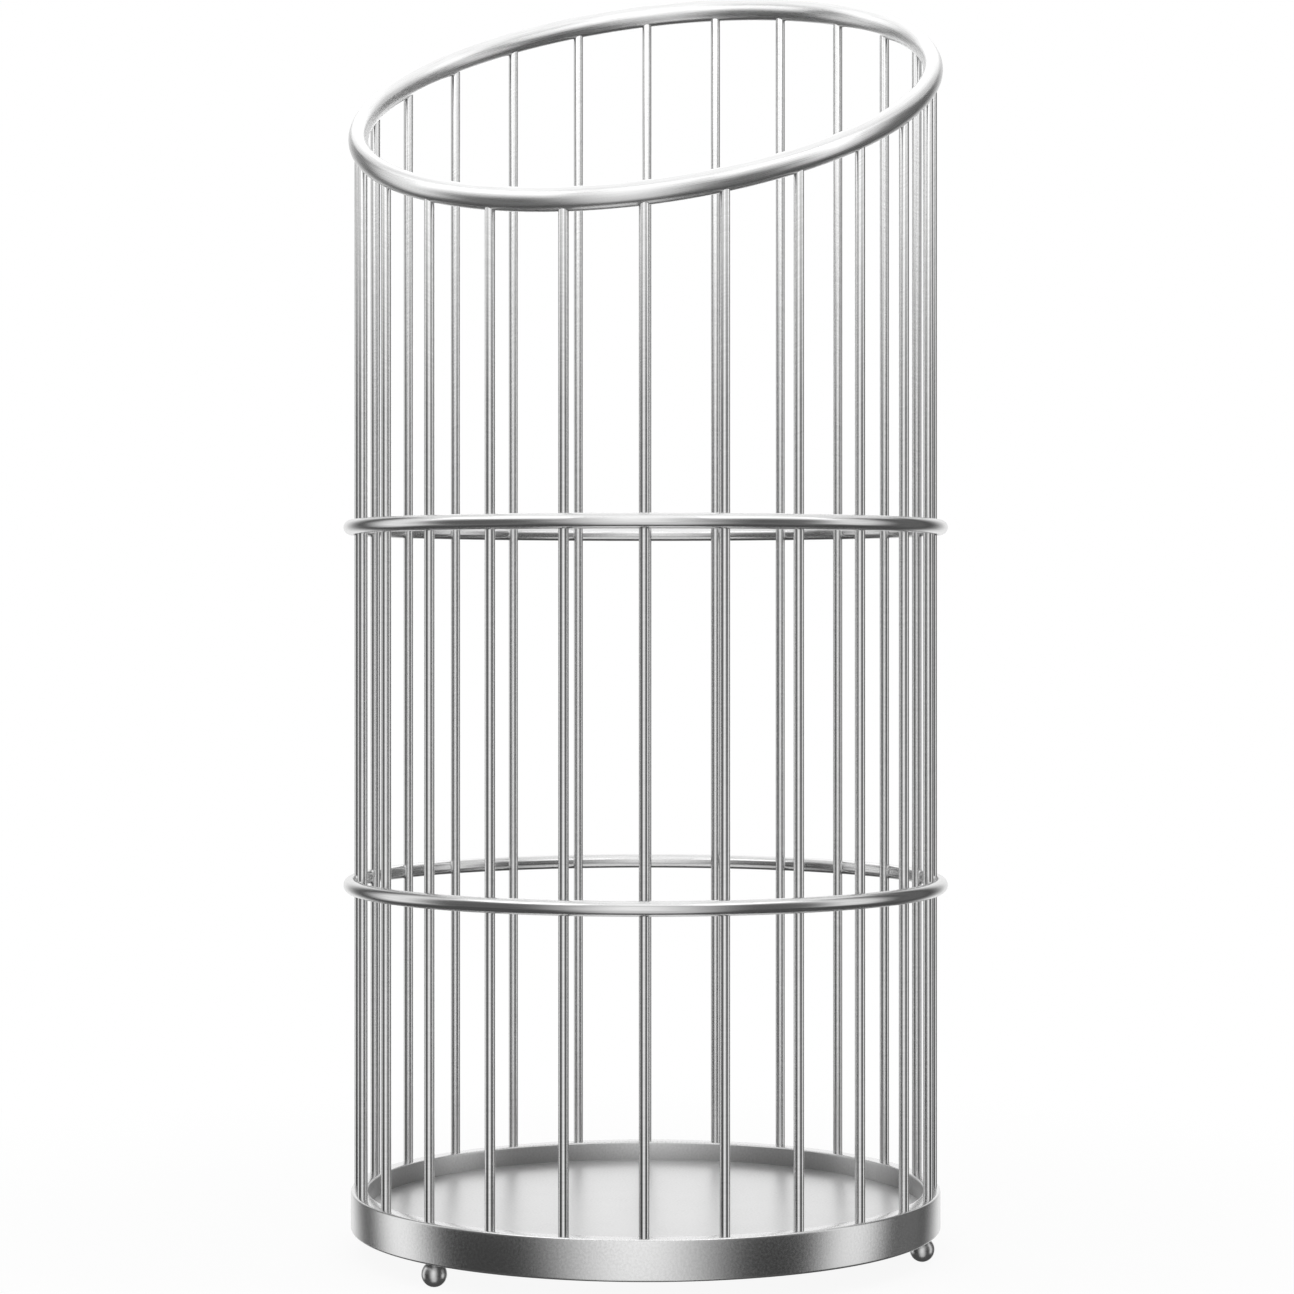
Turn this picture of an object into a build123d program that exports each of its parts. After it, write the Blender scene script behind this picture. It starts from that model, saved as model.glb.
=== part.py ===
"""Umbrella stand: a round cage of upright rods under a slanted rim, on a pressed drip tray with ball feet.

Millimetres. Z is up, the floor is Z = 0 and the cage stands round the Z axis.
The front, where the rim is lowest, faces -Y. The back, where it is highest, faces +Y.
Angles are measured from the front towards the right (+X).
"""

import math
import os

from build123d import *

os.makedirs("parts", exist_ok=True)

# Rods
ROD_COUNT = 24
ROD_D = 4.0
CAGE_R = 117.0

# Slanted rim: an oval bar, taller than it is wide
RIM_MID_HEIGHT = 470.0
RIM_SLANT = 25.25
RIM_WIDTH = 8.0
RIM_HEIGHT = 9.6

# Hoops: round bars outside the rods
HOOP_D = 6.0
LOWER_HOOP_HEIGHT = 149.0
UPPER_HOOP_HEIGHT = 294.0
NOTCH_CLEARANCE = 0.03

# Drip tray: one pressed sheet with a sunk floor, a flat lip, a skirt and a flange turned in below
SHEET = 0.8
LIP_HEIGHT = 25.5
LIP_INSIDE_RODS = 4.0
LIP_OUTSIDE_RODS = 3.0
BASIN_DEPTH = 8.0
COVE_R = 0.5
LIP_EDGE_R = 1.0
SKIRT_EDGE_R = 1.0
FLANGE_WIDTH = 11.0

# Ball feet: a ball turned in one with its threaded stud, held by a nut above the flange
FOOT_COUNT = 3
FIRST_FOOT_ANGLE = -30.0
FOOT_INSET = 5.5
BALL_D = 10.0
BALL_SEAT_D = 4.4
STUD_D = 3.0
STUD_PAST_NUT = 0.8
STUD_CHAMFER = 0.3
STUD_HOLE_CLEARANCE = 0.2
NUT_ACROSS_FLATS = 5.5
NUT_THICKNESS = 1.8
THREAD_CLEARANCE = 0.03

# Sizes that follow from those above
HALF_PITCH = 180 / ROD_COUNT
RIM_SLOPE = math.tan(math.radians(RIM_SLANT))
RIM_LONG_R = CAGE_R / math.cos(math.radians(RIM_SLANT))
HOOP_R = CAGE_R + HOOP_D / 2
TRAY_IN_R = CAGE_R - LIP_INSIDE_RODS
TRAY_OUT_R = CAGE_R + LIP_OUTSIDE_RODS
FLOOR_HEIGHT = LIP_HEIGHT - BASIN_DEPTH
FLANGE_IN_R = TRAY_OUT_R - FLANGE_WIDTH
FOOT_CIRCLE_R = TRAY_OUT_R - FOOT_INSET
BALL_R = BALL_D / 2
FLANGE_BOTTOM = BALL_R + math.sqrt(BALL_R**2 - (BALL_SEAT_D / 2) ** 2)
FLANGE_TOP = FLANGE_BOTTOM + SHEET
STUD_TOP = FLANGE_TOP + NUT_THICKNESS + STUD_PAST_NUT


def on_circle(radius, angle, height):
    """Point on a circle round the Z axis."""
    turn = math.radians(angle)
    return (radius * math.sin(turn), -radius * math.cos(turn), height)


def save(part, name):
    part.label = name
    export_step(part, f"parts/{name}.step")


# Slanted rim: the oval follows the ellipse in which the slanted plane cuts the cage
RIM_PLANE = Plane((0, 0, RIM_MID_HEIGHT)).rotated((RIM_SLANT, 0, 0))
with BuildPart() as top_rim:
    with BuildLine(RIM_PLANE) as rim_path:
        EllipticalCenterArc((0, 0), CAGE_R, RIM_LONG_R, start_angle=0, arc_size=360)
    with BuildSketch(Plane(rim_path.line @ 0, x_dir=(1, 0, 0), z_dir=rim_path.line % 0)):
        Ellipse(RIM_WIDTH / 2, RIM_HEIGHT / 2)
    sweep()
save(top_rim.part, "top_rim")


# Rods: each stands on the lip and is coped to fit under the rim
def make_rod(angle):
    foot = on_circle(CAGE_R, angle, LIP_HEIGHT)
    rim_above = RIM_MID_HEIGHT + RIM_SLOPE * foot[1]
    with BuildPart() as rod:
        with BuildSketch(Plane(foot)):
            Circle(ROD_D / 2)
        extrude(amount=rim_above - LIP_HEIGHT)
        add(top_rim.part, mode=Mode.SUBTRACT)
    return rod.part


for index in range(ROD_COUNT):
    save(make_rod(index * 360 / ROD_COUNT), f"rod_{index + 1:02d}")


# Hoops: their inner side reaches the rods' centre circle, so each rod lies in a half-round notch
def make_hoop(height):
    with BuildPart() as hoop:
        with Locations((0, 0, height)):
            Torus(HOOP_R, HOOP_D / 2, rotation=(0, 0, HALF_PITCH))
            with PolarLocations(CAGE_R, ROD_COUNT, start_angle=90):
                Cylinder(ROD_D / 2 + NOTCH_CLEARANCE, 2 * HOOP_D, mode=Mode.SUBTRACT)
    return hoop.part


save(make_hoop(UPPER_HOOP_HEIGHT), "upper_hoop")
save(make_hoop(LOWER_HOOP_HEIGHT), "lower_hoop")

# Drip tray: half of its section, turned round the Z axis, with a hole in the flange for each stud
FOOT_ANGLES = [FIRST_FOOT_ANGLE + index * 360 / FOOT_COUNT for index in range(FOOT_COUNT)]
with BuildPart() as base_tray:
    with BuildSketch(Plane.XZ):
        with BuildLine():
            outside = FilletPolyline(
                (0, FLOOR_HEIGHT),
                (TRAY_IN_R, FLOOR_HEIGHT),
                (TRAY_IN_R, LIP_HEIGHT),
                (TRAY_OUT_R, LIP_HEIGHT),
                (TRAY_OUT_R, FLANGE_BOTTOM),
                (FLANGE_IN_R, FLANGE_BOTTOM),
                radius=(COVE_R, LIP_EDGE_R, LIP_EDGE_R, SKIRT_EDGE_R),
            )
            inside = FilletPolyline(
                (0, FLOOR_HEIGHT - SHEET),
                (TRAY_IN_R + SHEET, FLOOR_HEIGHT - SHEET),
                (TRAY_IN_R + SHEET, LIP_HEIGHT - SHEET),
                (TRAY_OUT_R - SHEET, LIP_HEIGHT - SHEET),
                (TRAY_OUT_R - SHEET, FLANGE_TOP),
                (FLANGE_IN_R, FLANGE_TOP),
                radius=(COVE_R + SHEET, LIP_EDGE_R - SHEET, LIP_EDGE_R - SHEET, SKIRT_EDGE_R - SHEET),
            )
            Line(outside @ 0, inside @ 0)
            Line(outside @ 1, inside @ 1)
        make_face()
    revolve(axis=Axis.Z)
    with Locations([on_circle(FOOT_CIRCLE_R, angle, FLANGE_BOTTOM + SHEET / 2) for angle in FOOT_ANGLES]):
        Cylinder(STUD_D / 2 + STUD_HOLE_CLEARANCE, 2 * SHEET, mode=Mode.SUBTRACT)
save(base_tray.part, "base_tray")


# Ball foot: a flat seat on the ball meets the flange, the stud goes up through it
def make_foot(angle):
    with BuildPart() as foot:
        with Locations(on_circle(FOOT_CIRCLE_R, angle, BALL_R)):
            Sphere(BALL_R)
        split(bisect_by=Plane((0, 0, FLANGE_BOTTOM)), keep=Keep.BOTTOM)
        with BuildSketch(Plane(on_circle(FOOT_CIRCLE_R, angle, FLANGE_BOTTOM))):
            Circle(STUD_D / 2)
        extrude(amount=STUD_TOP - FLANGE_BOTTOM)
        chamfer(foot.faces().sort_by(Axis.Z)[-1].edges(), STUD_CHAMFER)
    return foot.part


def make_nut(angle):
    with BuildPart() as nut:
        with BuildSketch(Plane(on_circle(FOOT_CIRCLE_R, angle, FLANGE_TOP))):
            RegularPolygon(NUT_ACROSS_FLATS / 2, 6, major_radius=False, rotation=-angle)
            Circle(STUD_D / 2 + THREAD_CLEARANCE, mode=Mode.SUBTRACT)
        extrude(amount=NUT_THICKNESS)
    return nut.part


for index, angle in enumerate(FOOT_ANGLES):
    save(make_foot(angle), f"ball_foot_{index + 1}")
    save(make_nut(angle), f"foot_nut_{index + 1}")
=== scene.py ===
"""Looks of the umbrella stand: a satin steel cage on a pressed tray, in a white studio.

Metres, in the same frame as the part.
"""

import math

import bpy
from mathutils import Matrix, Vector


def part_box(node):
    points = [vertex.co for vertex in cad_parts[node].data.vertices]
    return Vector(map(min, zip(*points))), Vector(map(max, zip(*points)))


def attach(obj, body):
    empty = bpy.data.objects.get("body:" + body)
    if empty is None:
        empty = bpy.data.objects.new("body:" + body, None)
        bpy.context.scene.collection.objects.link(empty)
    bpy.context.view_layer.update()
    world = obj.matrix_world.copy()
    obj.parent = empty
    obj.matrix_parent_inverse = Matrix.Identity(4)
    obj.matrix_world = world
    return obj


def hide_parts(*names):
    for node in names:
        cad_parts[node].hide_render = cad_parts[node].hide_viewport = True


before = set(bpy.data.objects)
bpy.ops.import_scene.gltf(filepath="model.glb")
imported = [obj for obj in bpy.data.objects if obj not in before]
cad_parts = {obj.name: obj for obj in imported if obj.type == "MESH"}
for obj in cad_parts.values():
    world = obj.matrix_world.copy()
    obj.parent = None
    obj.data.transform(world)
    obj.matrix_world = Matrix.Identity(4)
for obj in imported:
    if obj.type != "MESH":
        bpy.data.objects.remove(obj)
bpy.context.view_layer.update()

# Cage
ROD_COUNT = 24
ROD_R = 0.002
CAGE_R = 0.117
RIM_MID_HEIGHT = 0.470
RIM_SLANT = math.radians(25.25)
RIM_HALF_WIDTH = 0.004
RIM_HALF_HEIGHT = 0.0048
HOOP_BAR_R = 0.003
HOOP_R = CAGE_R + HOOP_BAR_R
HOOP_HEIGHTS = {"upper_hoop": 0.294, "lower_hoop": 0.149}

# Tray
SHEET = 0.0008
LIP_HEIGHT = 0.0255
TRAY_IN_R = 0.113
TRAY_OUT_R = 0.120
FLOOR_HEIGHT = 0.0175
FLANGE_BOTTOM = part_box("base_tray")[0].z
FLANGE_IN_R = 0.109
COVE_R = 0.0001
EDGE_R = 0.001

# Ball feet
FOOT_ANGLES = (-30, 90, 210)
FOOT_CIRCLE_R = 0.1145
BALL_R = 0.005
STUD_R = 0.0015
STUD_CHAMFER = 0.0003
STUD_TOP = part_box("ball_foot_1")[1].z

# Edges that turn by more than this stay sharp
SHARP_ANGLE = math.radians(40)

# Grain of the steel
GRAIN_DETAIL = 4.0
CLOUD_SCALE = 60.0
CLOUD_DETAIL = 2.0
RELIEF_DEPTH = 0.00006
# Part of the grain's noise that shows in the tone, and the shares of the grey at its two ends
SPECK_RANGE = (0.35, 0.65)
SPECK_SHARES = (0.84, 1.06)
# The same for the roughness
GLOSS_RANGE = (0.25, 0.75)
GLOSS_SHARES = (0.88, 1.12)

# Tray's basin: distances from the axis over which its dull finish ends, and over which the painted shade on
# its wall starts and ends
BASIN_END = (TRAY_IN_R, TRAY_IN_R + EDGE_R)
WALL_START = (TRAY_IN_R - EDGE_R / 4, TRAY_IN_R - EDGE_R / 8)
WALL_END = (TRAY_IN_R + EDGE_R / 4, TRAY_IN_R + EDGE_R)
# Painted shade on the basin's wall, darker towards the floor corner: its tone at the floor and at the lip, as
# shares of the sheet's tone
WALL_PAINTED_SHADE = (0.5, 0.84)

# Camera, from the photograph's frame
PHOTO_SIZE = 1294
FOCAL_PX = 3393.6
HORIZON_PX = 607.5
AXIS_PX = 645.65
SENSOR_MM = 36.0
VIEW_AZIMUTH = math.radians(15.28)
VIEW_DISTANCE = 1.3867
EYE_HEIGHT = 0.2615

# Studio walls, in degrees from the camera's side and positive towards its right:
# middle, half width of the bright part, half width with the soft edges, brightness
WALL_LIGHTS = {
    "left strip": (-108, 3, 27, 1.03),
    "front": (-4, 1, 46, 1.0),
    "right strip": (86, 3, 25, 0.95),
    "far right": (123, 8, 12, 0.14),
}
# Behind the stand: half width of the bright part, half width with the soft edges, brightness
BACKDROP = (17, 45, 1.0)
# Brightness of the studio between the wall lights, overhead, and of its ground
BETWEEN = 0.05
ABOVE = 0.45
BELOW = 0.09
BELOW_IN_FRONT = 0.76
# Fades by how far a direction points up: to the ceiling, to the ground, and to the plain ground underneath
CEILING_FADE = (0.45, 0.85)
GROUND_FADE = (-0.3, -0.55)
UNDERNEATH_FADE = (-0.85, -0.95)
# Fade to the ground in front, by how far a direction points to the camera's side
IN_FRONT_FADE = (0.75, 1)

# Softboxes near the stand: degrees from the camera's side, width, brightness of the upper part
SOFTBOXES = {
    "left": (-55, 0.40, 1.25),
    "front": (-3, 0.27, 0.46),
    "right": (45, 0.34, 1.1),
}
SOFTBOX_DISTANCE = 0.365
SOFTBOX_BOTTOM = 0.02
SOFTBOX_TOP = 0.70
# Brightness of their lower part, and the heights between which it rises to that of the upper part
SOFTBOX_LOW = 0.08
RISE = (0.36, 0.52)
# Softbox behind the stand: heights of its bottom and top, width, brightness
BACK_LIGHT = (0.3, 0.5, 0.26, 0.6)
# Softboxes overhead: height, width of the square, brightness
ROOFS = ((0.70, 0.5, 0.22), (0.71, 1.0, 0.55))

# Floor: the camera sees it as mostly plain white near the stand, and as all white further out
FLOOR_R = 4.0
FLOOR_SIDES = 96
FLOOR_GREY = 0.95
FLOOR_ROUGHNESS = 0.9
FLOOR_WHITE = 0.92
FLOOR_FADE = (0.12, 0.5)


def around(radius, angle, height):
    """Point at an angle, in radians, from the front (-Y) towards the right (+X)."""
    return Vector((radius * math.sin(angle), -radius * math.cos(angle), height))


def grid_faces(rows, columns, closed_rows):
    """Quads between rows of points, each row a closed loop."""
    last = rows if closed_rows else rows - 1
    faces = []
    for row in range(last):
        below = row * columns
        above = (row + 1) % rows * columns
        for column in range(columns):
            beside = (column + 1) % columns
            faces.append((below + column, below + beside, above + beside, above + column))
    return faces


def unwrap(mesh, rows, columns, lengths, girth):
    """Lays the quads flat at real size, U along the piece and V round it. Other faces lie as from above."""
    layer = mesh.uv_layers.new(name="UVMap")
    for face in mesh.polygons:
        loops = list(face.loop_indices)
        if face.index >= rows * columns or len(loops) != 4:
            for loop in loops:
                corner = mesh.vertices[mesh.loops[loop].vertex_index].co
                layer.data[loop].uv = (corner.x, corner.y)
            continue
        row, column = divmod(face.index, columns)
        low, high = lengths[row], lengths[row + 1]
        left, right = girth * column / columns, girth * (column + 1) / columns
        for loop, uv in zip(loops, ((low, left), (low, right), (high, right), (high, left))):
            layer.data[loop].uv = uv


def add_piece(name, mesh, node, material):
    mesh.shade_smooth()
    mesh.set_sharp_from_angle(angle=SHARP_ANGLE)
    piece = bpy.data.objects.new(name, mesh)
    bpy.context.scene.collection.objects.link(piece)
    mesh.materials.append(material)
    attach(piece, "root")
    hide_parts(node)


def ring_section(radius, height, slant, angle):
    """Centre of a ring's bar at an angle, and the ways along it, outward and square to the ring's plane.

    The ring follows a circle when seen from above, in a plane slanted up towards +Y.
    """
    slope = math.tan(slant)
    centre = around(radius, angle, height)
    centre.z += slope * centre.y
    heading = Vector((math.cos(angle), math.sin(angle), slope * math.sin(angle)))
    normal = Vector((0, -math.sin(slant), math.cos(slant)))
    outward = heading.cross(normal).normalized()
    return centre, heading, outward, normal


def bar_ring(name, radius, height, slant, half_width, half_height, steps=288, sides=40):
    """A closed ring of bar with an oval section."""
    points = []
    lengths = [0.0]
    for step in range(steps):
        centre, heading, outward, normal = ring_section(radius, height, slant, math.tau * step / steps)
        for side in range(sides):
            turn = math.tau * side / sides
            across = half_width * math.cos(turn) * outward
            down = half_height * math.sin(turn) * normal
            points.append(centre + across - down)
        lengths.append(lengths[-1] + radius * heading.length * math.tau / steps)
    mesh = bpy.data.meshes.new(name)
    mesh.from_pydata(points, [], grid_faces(steps, sides, closed_rows=True))
    unwrap(mesh, steps, sides, lengths, math.pi * (half_width + half_height))
    return mesh


def under_rim(point):
    """Height at which a vertical line through the point meets the underside of the rim.

    Across and above place the line in the rim's oval section, as shares of its half width and half height.
    """
    angle = math.atan2(point.x, -point.y)
    centre, _, outward, normal = ring_section(CAGE_R, RIM_MID_HEIGHT, RIM_SLANT, angle)
    aside = Vector((point.x, point.y, centre.z)) - centre
    across = aside.dot(outward) / RIM_HALF_WIDTH
    above = aside.dot(normal) / RIM_HALF_HEIGHT
    across_rise = outward.z / RIM_HALF_WIDTH
    above_rise = normal.z / RIM_HALF_HEIGHT
    rise = across_rise**2 + above_rise**2
    middle = (across * across_rise + above * above_rise) / rise
    reach = middle**2 - (across**2 + above**2 - 1) / rise
    return centre.z - middle - math.sqrt(max(reach, 0))


def rod_bar(name, angle, sides=32):
    """An upright rod that stands on the lip and is coped to the rim's underside."""
    centre = around(CAGE_R, angle, 0)
    foot = []
    top = []
    for side in range(sides):
        turn = math.tau * side / sides
        point = centre + Vector((ROD_R * math.cos(turn), ROD_R * math.sin(turn), LIP_HEIGHT))
        foot.append(point)
        top.append(Vector((point.x, point.y, under_rim(point))))
    faces = grid_faces(2, sides, closed_rows=False)
    faces.append(tuple(reversed(range(sides))))
    faces.append(tuple(range(sides, 2 * sides)))
    mesh = bpy.data.meshes.new(name)
    mesh.from_pydata(foot + top, [], faces)
    unwrap(mesh, 1, sides, (LIP_HEIGHT, under_rim(centre)), math.tau * ROD_R)
    return mesh


def filleted(corners, radii, steps=6):
    """A line through the corners with its inner corners rounded."""
    line = [Vector(corners[0])]
    for before, corner, after, radius in zip(corners, corners[1:], corners[2:], radii):
        corner = Vector(corner)
        back = (Vector(before) - corner).normalized()
        ahead = (Vector(after) - corner).normalized()
        centre = corner + radius * (back + ahead)
        for step in range(steps + 1):
            turn = math.pi / 2 * step / steps
            line.append(centre - radius * (math.cos(turn) * ahead + math.sin(turn) * back))
    line.append(Vector(corners[-1]))
    return line


def lathe(name, outline, centre=Vector((0, 0, 0)), steps=256):
    """Turns an outline of (radius, height) round a vertical axis. It starts and ends on the axis."""
    inner = outline[1:-1]
    points = []
    lengths = [0.0]
    for before, (radius, height) in zip([inner[0]] + inner, inner):
        for step in range(steps):
            points.append(centre + around(radius, math.tau * step / steps, height))
        lengths.append(lengths[-1] + math.dist(before, (radius, height)))
    faces = grid_faces(len(inner), steps, closed_rows=False)
    for end, tip in ((0, outline[0]), (len(inner) - 1, outline[-1])):
        points.append(centre + Vector((0, 0, tip[1])))
        loop = range(end * steps, (end + 1) * steps)
        for here, beside in zip(loop, [*loop[1:], loop[0]]):
            faces.append((len(points) - 1, beside, here) if end == 0 else (len(points) - 1, here, beside))
    mesh = bpy.data.meshes.new(name)
    mesh.from_pydata(points, [], faces)
    unwrap(mesh, len(inner) - 1, steps, lengths[1:], math.tau * CAGE_R)
    return mesh


def tray_outline():
    """Half section of the pressed sheet, lower side first, from the axis and back to it."""
    upper = filleted(
        (
            (0, FLOOR_HEIGHT),
            (TRAY_IN_R, FLOOR_HEIGHT),
            (TRAY_IN_R, LIP_HEIGHT),
            (TRAY_OUT_R, LIP_HEIGHT),
            (TRAY_OUT_R, FLANGE_BOTTOM),
            (FLANGE_IN_R, FLANGE_BOTTOM),
        ),
        (COVE_R, EDGE_R, EDGE_R, EDGE_R),
    )
    lower = filleted(
        (
            (0, FLOOR_HEIGHT - SHEET),
            (TRAY_IN_R + SHEET, FLOOR_HEIGHT - SHEET),
            (TRAY_IN_R + SHEET, LIP_HEIGHT - SHEET),
            (TRAY_OUT_R - SHEET, LIP_HEIGHT - SHEET),
            (TRAY_OUT_R - SHEET, FLANGE_BOTTOM + SHEET),
            (FLANGE_IN_R, FLANGE_BOTTOM + SHEET),
        ),
        (COVE_R + SHEET, EDGE_R - SHEET, EDGE_R - SHEET, EDGE_R - SHEET),
    )
    return lower + upper[::-1]


def foot_outline(steps=24):
    """Ball from its lowest point up to the seat, then the stud."""
    seat = math.acos((FLANGE_BOTTOM - BALL_R) / BALL_R)
    outline = []
    for step in range(steps + 1):
        turn = (math.pi - seat) * step / steps
        outline.append(Vector((BALL_R * math.sin(turn), BALL_R - BALL_R * math.cos(turn))))
    outline.append(Vector((STUD_R, FLANGE_BOTTOM)))
    outline.append(Vector((STUD_R, STUD_TOP - STUD_CHAMFER)))
    outline.append(Vector((STUD_R - STUD_CHAMFER, STUD_TOP)))
    outline.append(Vector((0, STUD_TOP)))
    return outline


def link(tree, source, target):
    tree.links.new(source, target)


def add_node(tree, kind, **settings):
    node = tree.nodes.new(kind)
    for key, value in settings.items():
        setattr(node, key, value)
    return node


def spread(tree, value, source, target, smooth=False):
    """Maps a value from the source range to the target range."""
    node = add_node(tree, "ShaderNodeMapRange")
    node.interpolation_type = "SMOOTHSTEP" if smooth else "LINEAR"
    link(tree, value, node.inputs["Value"])
    for socket, number in zip(("From Min", "From Max", "To Min", "To Max"), (*source, *target)):
        node.inputs[socket].default_value = number
    return node.outputs["Result"]


def blend(tree, factor, first, second, mode="MIX"):
    """Mixes two colours, each a socket or a grey level.

    The node's colour sockets share their names with others, so they are taken by number.
    """
    node = add_node(tree, "ShaderNodeMix", data_type="RGBA", blend_type=mode)
    link(tree, factor, node.inputs["Factor"])
    for socket, value in ((node.inputs[6], first), (node.inputs[7], second)):
        if isinstance(value, bpy.types.NodeSocket):
            link(tree, value, socket)
        else:
            socket.default_value = (value, value, value, 1)
    return node.outputs[2]


def combine(tree, operation, first, second):
    """Arithmetic on two values."""
    node = add_node(tree, "ShaderNodeMath", operation=operation)
    link(tree, first, node.inputs[0])
    link(tree, second, node.inputs[1])
    return node.outputs["Value"]


def along(tree, vector, direction):
    """Share of a vector along a direction."""
    node = add_node(tree, "ShaderNodeVectorMath", operation="DOT_PRODUCT")
    link(tree, vector, node.inputs[0])
    node.inputs[1].default_value = direction
    return node.outputs["Value"]


def flat(tree, vector):
    """A vector without its height."""
    node = add_node(tree, "ShaderNodeVectorMath", operation="MULTIPLY")
    node.inputs[1].default_value = (1, 1, 0)
    link(tree, vector, node.inputs[0])
    return node.outputs["Vector"]


def length(tree, vector):
    node = add_node(tree, "ShaderNodeVectorMath", operation="LENGTH")
    link(tree, vector, node.inputs[0])
    return node.outputs["Value"]


def noise(tree, vector, scale, detail):
    node = add_node(tree, "ShaderNodeTexNoise")
    node.inputs["Scale"].default_value = scale
    node.inputs["Detail"].default_value = detail
    link(tree, vector, node.inputs["Vector"])
    return node.outputs["Fac"]


def dull_basin_and_shade_wall(tree, place, tone, gloss, dullness):
    """Makes the tray's basin duller than the rest of the sheet, and paints shade on its wall that darkens
    towards the floor corner.
    """
    away = length(tree, flat(tree, place))
    gloss = combine(tree, "ADD", gloss, spread(tree, away, BASIN_END, (dullness, 0)))
    # Painted shade: the wall's tone darkens from the lip down to the floor corner.
    wall_shade_tone = spread(tree, along(tree, place, (0, 0, 1)), (FLOOR_HEIGHT, LIP_HEIGHT), WALL_PAINTED_SHADE)
    past_start = spread(tree, away, WALL_START, (0, 1))
    before_end = spread(tree, away, WALL_END, (1, 0))
    shaded_wall_mask = combine(tree, "MULTIPLY", past_start, before_end)
    tone = blend(tree, shaded_wall_mask, tone, wall_shade_tone, mode="MULTIPLY")
    return tone, gloss


def steel(name, grey, roughness, grain, bump, basin_dullness=0, smear=0):
    """Satin steel: a fine grain breaks up the tone and the gloss, with a faint cloudiness in the tone.

    Smear draws the highlights out along the piece. The basin's dullness is for the tray alone, and it also
    brings the painted shade on the basin's wall.
    """
    material = bpy.data.materials.new(name)
    material.use_nodes = True
    tree = material.node_tree
    shader = tree.nodes["Principled BSDF"]
    shader.inputs["Metallic"].default_value = 1.0
    place = add_node(tree, "ShaderNodeTexCoord")
    stretch = add_node(tree, "ShaderNodeMapping")
    stretch.inputs["Scale"].default_value = (*grain, 1)
    link(tree, place.outputs["UV"], stretch.inputs["Vector"])
    fine = noise(tree, stretch.outputs["Vector"], scale=1.0, detail=GRAIN_DETAIL)
    cloud = noise(tree, place.outputs["Object"], scale=CLOUD_SCALE, detail=CLOUD_DETAIL)
    specks = spread(tree, fine, SPECK_RANGE, [grey * share for share in SPECK_SHARES])
    tone = blend(tree, cloud, specks, grey)
    gloss = spread(tree, fine, GLOSS_RANGE, [roughness * share for share in GLOSS_SHARES])
    if basin_dullness:
        tone, gloss = dull_basin_and_shade_wall(tree, place.outputs["Object"], tone, gloss, basin_dullness)
    link(tree, tone, shader.inputs["Base Color"])
    link(tree, gloss, shader.inputs["Roughness"])
    if smear:
        shader.inputs["Anisotropic"].default_value = smear
        lengthwise = add_node(tree, "ShaderNodeTangent", direction_type="UV_MAP")
        link(tree, lengthwise.outputs["Tangent"], shader.inputs["Tangent"])
    relief = add_node(tree, "ShaderNodeBump")
    relief.inputs["Strength"].default_value = bump
    relief.inputs["Distance"].default_value = RELIEF_DEPTH
    link(tree, fine, relief.inputs["Height"])
    link(tree, relief.outputs["Normal"], shader.inputs["Normal"])
    return material


def wall_profile():
    """Brightness of the studio's walls, as (degrees, grey) from left to right."""
    half, soft, white = BACKDROP
    profile = [(-180, white), (half - 180, white), (soft - 180, BETWEEN)]
    profile += [(180 - soft, BETWEEN), (180 - half, white), (180, white)]
    for middle, half, soft, bright in WALL_LIGHTS.values():
        profile += [(middle - soft, BETWEEN), (middle - half, bright)]
        profile += [(middle + half, bright), (middle + soft, BETWEEN)]
    return sorted(profile)


def studio_world():
    """White for the camera. Light and reflections see a studio with bright and dark walls.

    Its ceiling is pale and its ground dark, but bright in front.
    """
    world = bpy.data.worlds.new("studio")
    bpy.context.scene.world = world
    world.use_nodes = True
    tree = world.node_tree
    tree.nodes.clear()
    outward = add_node(tree, "ShaderNodeTexCoord").outputs["Generated"]
    heading = add_node(tree, "ShaderNodeVectorMath", operation="NORMALIZE")
    link(tree, flat(tree, outward), heading.inputs[0])
    ahead = along(tree, heading.outputs["Vector"], around(1, VIEW_AZIMUTH, 0))
    aside = along(tree, heading.outputs["Vector"], around(1, VIEW_AZIMUTH + math.pi / 2, 0))
    upward = along(tree, outward, (0, 0, 1))
    turned = combine(tree, "ARCTAN2", aside, ahead)
    profile = wall_profile()
    walls = add_node(tree, "ShaderNodeValToRGB")
    walls.color_ramp.interpolation = "EASE"
    stops = walls.color_ramp.elements
    while len(stops) < len(profile):
        stops.new(1.0)
    for stop, (degrees, grey) in zip(stops, profile):
        stop.position = 0.5 + degrees / 360
        stop.color = (grey, grey, grey, 1)
    link(tree, spread(tree, turned, (-math.pi, math.pi), (0, 1)), walls.inputs["Fac"])
    overhead = spread(tree, upward, CEILING_FADE, (0, 1), smooth=True)
    room = blend(tree, overhead, walls.outputs["Color"], ABOVE)
    in_front = spread(tree, ahead, IN_FRONT_FADE, (0, 1), smooth=True)
    ground = blend(tree, in_front, BELOW, BELOW_IN_FRONT)
    downward = spread(tree, upward, GROUND_FADE, (0, 1), smooth=True)
    room = blend(tree, downward, room, ground)
    underneath = spread(tree, upward, UNDERNEATH_FADE, (0, 1), smooth=True)
    room = blend(tree, underneath, room, BELOW)
    path = add_node(tree, "ShaderNodeLightPath")
    seen = blend(tree, path.outputs["Is Camera Ray"], room, 1.0)
    background = add_node(tree, "ShaderNodeBackground")
    link(tree, seen, background.inputs["Color"])
    output = add_node(tree, "ShaderNodeOutputWorld")
    link(tree, background.outputs["Background"], output.inputs["Surface"])


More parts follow.
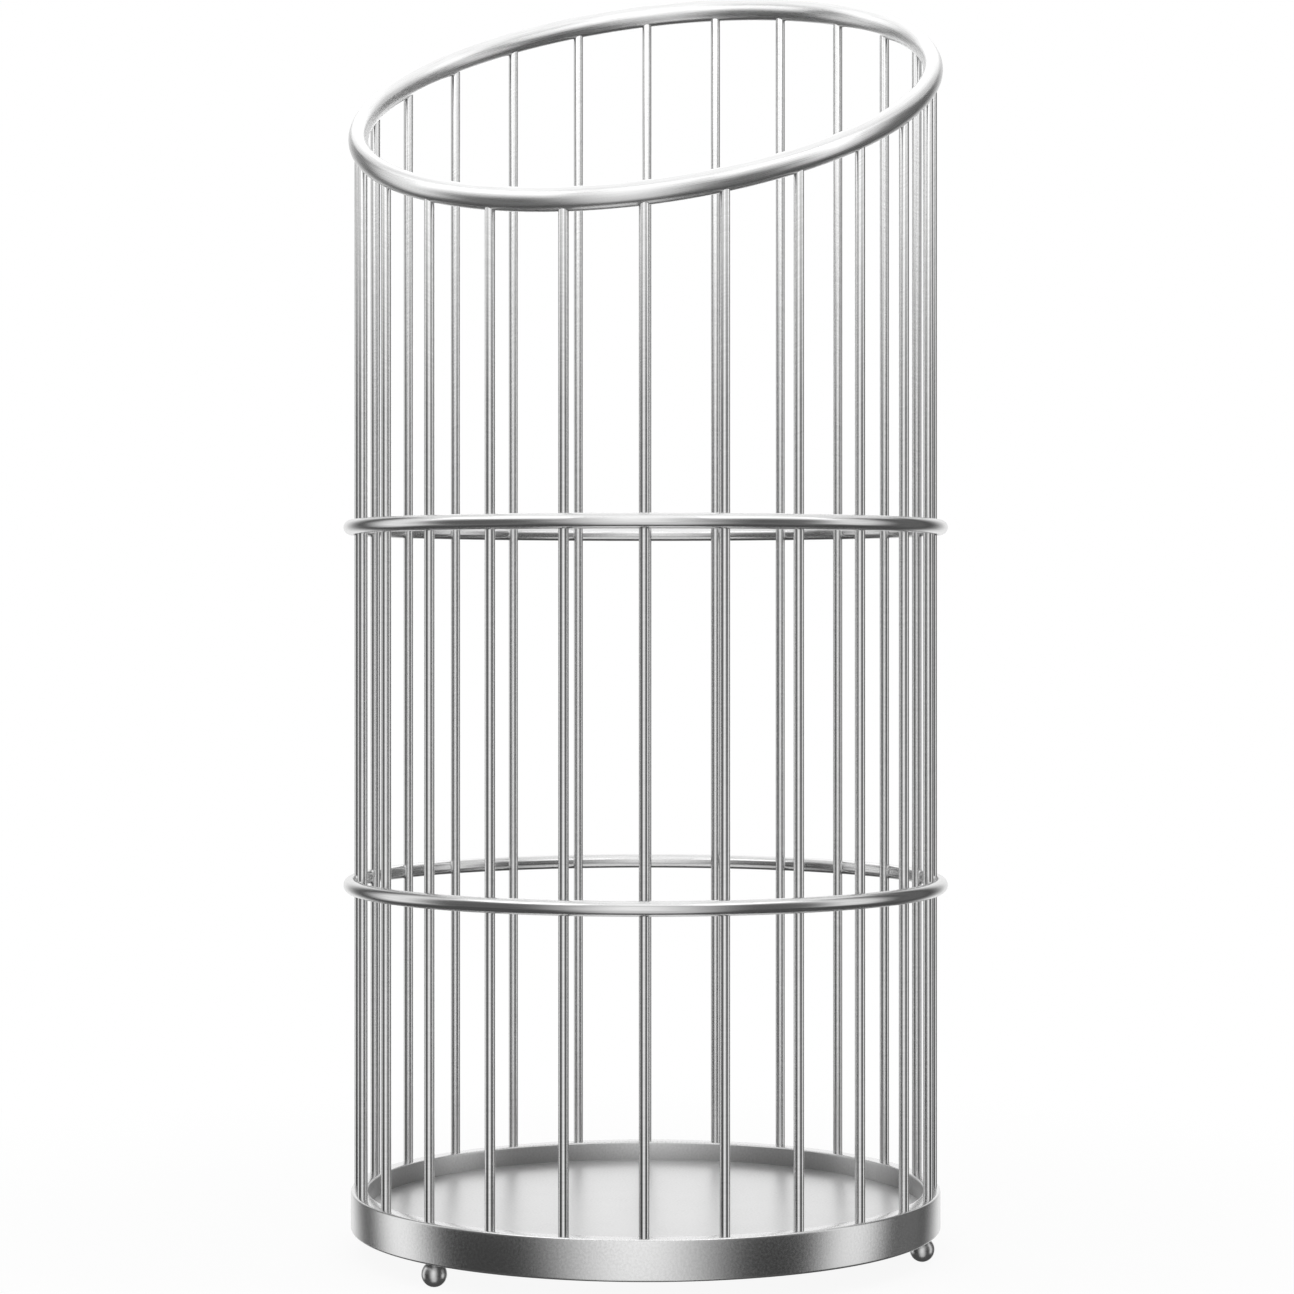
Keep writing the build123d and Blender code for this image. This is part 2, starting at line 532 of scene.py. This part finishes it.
def softbox(name, place, target, width, height, brightness):
    """A soft rectangular lamp that the camera doesn't see. Its power follows from its size and brightness."""
    data = bpy.data.lights.new(name, "AREA")
    data.shape = "RECTANGLE"
    data.size = width
    data.size_y = height
    data.energy = brightness * math.pi * width * height
    lamp = bpy.data.objects.new(name, data)
    lamp.location = place
    lamp.rotation_euler = (target - place).to_track_quat("-Z", "Y").to_euler()
    lamp.visible_camera = False
    bpy.context.scene.collection.objects.link(lamp)
    return data


def grade(data, low, rise):
    """Dims a softbox's lower part to a share of its brightness.

    The rise from there to full brightness is between two shares of its height.
    """
    data.use_nodes = True
    tree = data.node_tree
    place = add_node(tree, "ShaderNodeSeparateXYZ")
    link(tree, add_node(tree, "ShaderNodeNewGeometry").outputs["Parametric"], place.inputs["Vector"])
    share = spread(tree, place.outputs["Y"], rise, (low, 1))
    link(tree, share, tree.nodes["Emission"].inputs["Strength"])


def studio_lamps():
    """Softboxes at the left, front and right, brighter towards the top, one behind, and two overhead."""
    height = SOFTBOX_TOP - SOFTBOX_BOTTOM
    middle = (SOFTBOX_TOP + SOFTBOX_BOTTOM) / 2
    for name, (degrees, width, brightness) in SOFTBOXES.items():
        place = around(SOFTBOX_DISTANCE, VIEW_AZIMUTH + math.radians(degrees), middle)
        data = softbox(f"{name}_softbox", place, Vector((0, 0, middle)), width, height, brightness)
        grade(data, SOFTBOX_LOW / brightness, [(level - SOFTBOX_BOTTOM) / height for level in RISE])
    bottom, top, width, brightness = BACK_LIGHT
    middle = (bottom + top) / 2
    place = around(SOFTBOX_DISTANCE, VIEW_AZIMUTH + math.pi, middle)
    softbox("back_softbox", place, Vector((0, 0, middle)), width, top - bottom, brightness)
    for height, width, brightness in ROOFS:
        softbox("roof_softbox", Vector((0, 0, height)), Vector((0, 0, 0)), width, width, brightness)


def studio_floor():
    """A wide pale floor that takes the stand's soft shadow and fades into the white background.

    Reflections see the studio's own ground in its place.
    """
    mesh = bpy.data.meshes.new("floor")
    corners = [around(FLOOR_R, math.tau * side / FLOOR_SIDES, 0) for side in range(FLOOR_SIDES)]
    mesh.from_pydata(corners, [], [tuple(range(FLOOR_SIDES))])
    floor = bpy.data.objects.new("floor", mesh)
    bpy.context.scene.collection.objects.link(floor)
    material = bpy.data.materials.new("pale_floor")
    material.use_nodes = True
    tree = material.node_tree
    shader = tree.nodes["Principled BSDF"]
    shader.inputs["Base Color"].default_value = (FLOOR_GREY, FLOOR_GREY, FLOOR_GREY, 1)
    shader.inputs["Roughness"].default_value = FLOOR_ROUGHNESS
    glow = add_node(tree, "ShaderNodeEmission")
    away = length(tree, add_node(tree, "ShaderNodeTexCoord").outputs["Object"])
    white = spread(tree, away, FLOOR_FADE, (FLOOR_WHITE, 1), smooth=True)
    path = add_node(tree, "ShaderNodeLightPath")
    share = combine(tree, "MULTIPLY", white, path.outputs["Is Camera Ray"])
    mixed = add_node(tree, "ShaderNodeMixShader")
    link(tree, share, mixed.inputs["Fac"])
    link(tree, shader.outputs["BSDF"], mixed.inputs[1])
    link(tree, glow.outputs["Emission"], mixed.inputs[2])
    link(tree, mixed.outputs["Shader"], tree.nodes["Material Output"].inputs["Surface"])
    mesh.materials.append(material)
    floor.visible_glossy = False


def photo_camera():
    """Level camera at the photograph's distance, height and side."""
    data = bpy.data.cameras.new("camera")
    data.sensor_width = SENSOR_MM
    data.lens = FOCAL_PX / PHOTO_SIZE * SENSOR_MM
    data.shift_x = (PHOTO_SIZE / 2 - AXIS_PX) / PHOTO_SIZE
    data.shift_y = (HORIZON_PX - PHOTO_SIZE / 2) / PHOTO_SIZE
    camera = bpy.data.objects.new("camera", data)
    camera.location = around(VIEW_DISTANCE, VIEW_AZIMUTH, EYE_HEIGHT)
    camera.rotation_euler = (math.pi / 2, 0, VIEW_AZIMUTH)
    bpy.context.scene.collection.objects.link(camera)
    bpy.context.scene.camera = camera


# Materials. Grain is the noise's scale along and round the piece
RIM_STEEL = steel("satin_rim", grey=0.78, roughness=0.28, grain=(60, 3500), bump=0.05)
BAR_STEEL = steel("satin_bar", grey=0.74, roughness=0.2, grain=(60, 3500), bump=0.05)
ROD_STEEL = steel("ground_rod", grey=0.78, roughness=0.18, grain=(3000, 30), bump=0.004, smear=0.8)
# The sheet's material carries painted shade on the basin's wall, darkest at the floor corner.
SHEET_STEEL = steel(
    "satin_sheet", grey=0.82, roughness=0.23, grain=(1000, 1000), bump=0.22, basin_dullness=0.09
)
BALL_STEEL = steel("polished_ball", grey=0.7, roughness=0.28, grain=(2500, 2500), bump=0.02)
NUT_STEEL = steel("plated_nut", grey=0.6, roughness=0.35, grain=(1500, 1500), bump=0.03)

# Pieces. The nuts keep their CAD mesh
rim = bar_ring("rim_bar", CAGE_R, RIM_MID_HEIGHT, RIM_SLANT, RIM_HALF_WIDTH, RIM_HALF_HEIGHT)
add_piece("rim_bar", rim, "top_rim", RIM_STEEL)
for hoop, height in HOOP_HEIGHTS.items():
    ring = bar_ring(f"{hoop}_bar", HOOP_R, height, 0, HOOP_BAR_R, HOOP_BAR_R, sides=32)
    add_piece(f"{hoop}_bar", ring, hoop, BAR_STEEL)
for index in range(ROD_COUNT):
    rod = rod_bar(f"rod_bar_{index + 1:02d}", math.tau * index / ROD_COUNT)
    add_piece(f"rod_bar_{index + 1:02d}", rod, f"rod_{index + 1:02d}", ROD_STEEL)
add_piece("tray_pressing", lathe("tray_pressing", tray_outline()), "base_tray", SHEET_STEEL)
for index, angle in enumerate(FOOT_ANGLES):
    centre = around(FOOT_CIRCLE_R, math.radians(angle), 0)
    foot = lathe(f"foot_ball_{index + 1}", foot_outline(), centre, steps=64)
    add_piece(f"foot_ball_{index + 1}", foot, f"ball_foot_{index + 1}", BALL_STEEL)
    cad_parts[f"foot_nut_{index + 1}"].material_slots[0].material = NUT_STEEL

# Studio
studio_world()
studio_lamps()
studio_floor()
photo_camera()
bpy.context.scene.view_settings.view_transform = "Standard"
